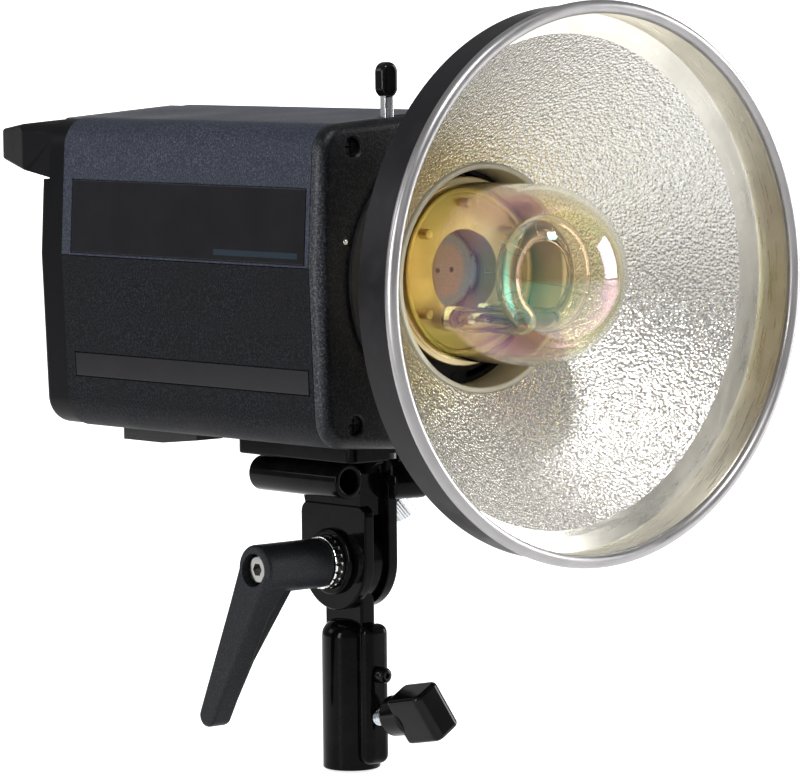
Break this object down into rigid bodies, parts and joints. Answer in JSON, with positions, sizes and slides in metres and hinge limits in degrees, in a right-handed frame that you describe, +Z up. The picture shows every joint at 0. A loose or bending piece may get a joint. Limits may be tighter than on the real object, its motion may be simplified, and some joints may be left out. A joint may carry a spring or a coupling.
{
  "type": "studio flash head",
  "caption": "Mains studio flash head with a round metal reflector, ring flash tube under a glass dome, tilting stand bracket, clamp lever and rear handle.",
  "frame": {"origin": "centre of the seat at the blind end of the stand socket", "axes": "+Z up along the stand's axis, the lamp looks along -Y, the clamp lever is on the -X side"},
  "size_m": [0.1906, 0.2742, 0.2733],
  "materials": {
    "crinkle_paint": "dark blue-grey fine crinkle paint",
    "black_enamel": "gloss black enamel",
    "satin_black": "satin black paint",
    "black_plastic": "satin black moulding",
    "label_gloss": "gloss black overlay",
    "bright_steel": "bright plated steel",
    "steel": "brushed steel",
    "black_screw": "black oxide",
    "hammered": "hammered bright inside, satin grey outside",
    "spun_rim": "brushed bright bead",
    "bare_aluminium": "satin aluminium",
    "cream_collar": "cream heat-proof ring",
    "gold_plate": "gold-toned plate",
    "quartz": "clear quartz tube",
    "dome_glass": "clear glass, warm coated tint",
    "rubber": "matt rubber",
    "rear_panel": "satin panel",
    "white_key": "pale key cap",
    "red_key": "red rocker",
    "lamp_green": "green lens",
    "photo_lens": "dark red lens",
    "board": "green board",
    "can_sleeve": "blue sleeve",
    "lever_cast": "fine-textured dark casting"
  },
  "bodies": {
    "stand": {"stand_receptor": "black_enamel", "receptor_set_screw": "black_screw"},
    "stand_screw": {"stand_clamp_screw": "steel", "stand_clamp_knob": "black_plastic"},
    "stand_pad": {"stand_screw_pad": "steel"},
    "head": {"tilt_bracket": "black_enamel", "bracket_screw_front": "black_screw", "bracket_screw_rear": "black_screw", "umbrella_tube": "black_enamel", "tilt_nut": "steel", "upper_shell": "crinkle_paint", "lower_shell": "crinkle_paint", "front_bezel": "crinkle_paint", "rear_cover": "black_plastic", "rear_handle": "black_plastic", "bezel_screw_1": "black_screw", "bezel_screw_2": "black_screw", "bezel_screw_3": "black_screw", "bezel_screw_4": "black_screw", "label_left": "label_gloss", "label_right": "label_gloss", "strip_left": "label_gloss", "strip_right": "label_gloss", "foot_left": "rubber", "foot_right": "rubber", "mount_plate": "satin_black", "lamp_base": "gold_plate", "flash_tube": "quartz", "lamp_socket": "cream_collar", "rear_panel": "rear_panel", "ready_lamp": "lamp_green", "photocell": "photo_lens", "sync_jack": "bright_steel", "mains_inlet": "black_plastic", "capacitor_left": "can_sleeve", "capacitor_right": "can_sleeve", "circuit_board": "board", "chassis": "bare_aluminium", "fan_frame": "black_plastic"},
    "clamp_screw": {"clamp_stud": "steel", "clamp_insert": "bright_steel", "lever_cap_screw": "bright_steel", "lever_spring": "steel"},
    "lever": {"clamp_lever": "lever_cast"},
    "umbrella_screw": {"umbrella_lock_screw": "steel"},
    "reflector": {"reflector_bowl": "hammered", "reflector_rim": "spun_rim", "reflector_collar": "cream_collar"},
    "dome": {"glass_dome": "dome_glass"},
    "reflector_lock": {"lock_ring": "steel", "lock_knob": "black_enamel"},
    "power_rocker": {"power_switch": "red_key"},
    "model_rocker": {"model_switch": "black_plastic"},
    "power_knob": {"power_slider": "white_key"},
    "model_knob": {"model_slider": "white_key"},
    "test_key": {"test_button": "white_key"},
    "fuse_holder": {"fuse_cap": "black_plastic"},
    "fan": {"fan_rotor": "black_plastic"}
  },
  "joints": [
    {"name": "tilt", "type": "hinge", "parent": "stand", "child": "head", "pos_m": [0, 0, 0.0343], "axis": [1, 0, 0], "range_deg": [-80, 70]},
    {"name": "clamp_turn", "type": "hinge", "parent": "head", "child": "clamp_screw", "pos_m": [-0.0145, 0, 0.0343], "axis": [1, 0, 0], "range_deg": [-120, 80]},
    {"name": "lever_lift", "type": "slide", "parent": "clamp_screw", "child": "lever", "axis": [-1, 0, 0], "range_m": [0, 0.004], "stiffness_N_per_m": 800, "springref_m": -0.004, "deforming": ["lever_spring"]},
    {"name": "stand_screw_turn", "type": "hinge", "parent": "stand", "child": "stand_screw", "pos_m": [0, 0, -0.0236], "axis": [0, 0.9848, -0.1736], "range_deg": [0, 1080]},
    {"name": "pad_travel", "type": "slide", "parent": "stand", "child": "stand_pad", "axis": [0, 0.9848, -0.1736], "range_m": [0, 0.0031]},
    {"name": "umbrella_screw_turn", "type": "hinge", "parent": "head", "child": "umbrella_screw", "pos_m": [0.02, -0.0035, 0.0537], "axis": [-0.7001, 0, 0.7141], "range_deg": [0, 720]},
    {"name": "lock_ring_turn", "type": "hinge", "parent": "head", "child": "reflector_lock", "pos_m": [0, -0.0522, 0.1375], "axis": [0, 1, 0], "range_deg": [0, 24]},
    {"name": "reflector_slide", "type": "slide", "parent": "head", "child": "reflector", "axis": [0, -1, 0], "range_m": [0, 0.12]},
    {"name": "dome_slide", "type": "slide", "parent": "head", "child": "dome", "axis": [0, -1, 0], "range_m": [0, 0.08]},
    {"name": "power_switch_rock", "type": "hinge", "parent": "head", "child": "power_rocker", "pos_m": [-0.029, 0.0993, 0.1105], "axis": [1, 0, 0], "range_deg": [0, 16]},
    {"name": "model_switch_rock", "type": "hinge", "parent": "head", "child": "model_rocker", "pos_m": [-0.01, 0.0993, 0.1105], "axis": [1, 0, 0], "range_deg": [0, 16]},
    {"name": "power_slide", "type": "slide", "parent": "head", "child": "power_knob", "axis": [0, 0, 1], "range_m": [-0.012, 0.012]},
    {"name": "model_slide", "type": "slide", "parent": "head", "child": "model_knob", "axis": [0, 0, 1], "range_m": [-0.012, 0.012]},
    {"name": "test_press", "type": "slide", "parent": "head", "child": "test_key", "axis": [0, -1, 0], "range_m": [0, 0.002], "stiffness_N_per_m": 150, "springref_m": -0.002},
    {"name": "fuse_turn", "type": "hinge", "parent": "head", "child": "fuse_holder", "pos_m": [0.005, 0.0975, 0.1105], "axis": [0, 1, 0], "range_deg": [0, 90]},
    {"name": "fan_spin", "type": "hinge", "parent": "head", "child": "fan", "pos_m": [0, 0.0747, 0.1495], "axis": [0, 1, 0], "continuous": true}
  ],
  "couplings": [
    {"joint": "pad_travel", "follows": "stand_screw_turn", "m_per_rad": 0.00015915}
  ]
}
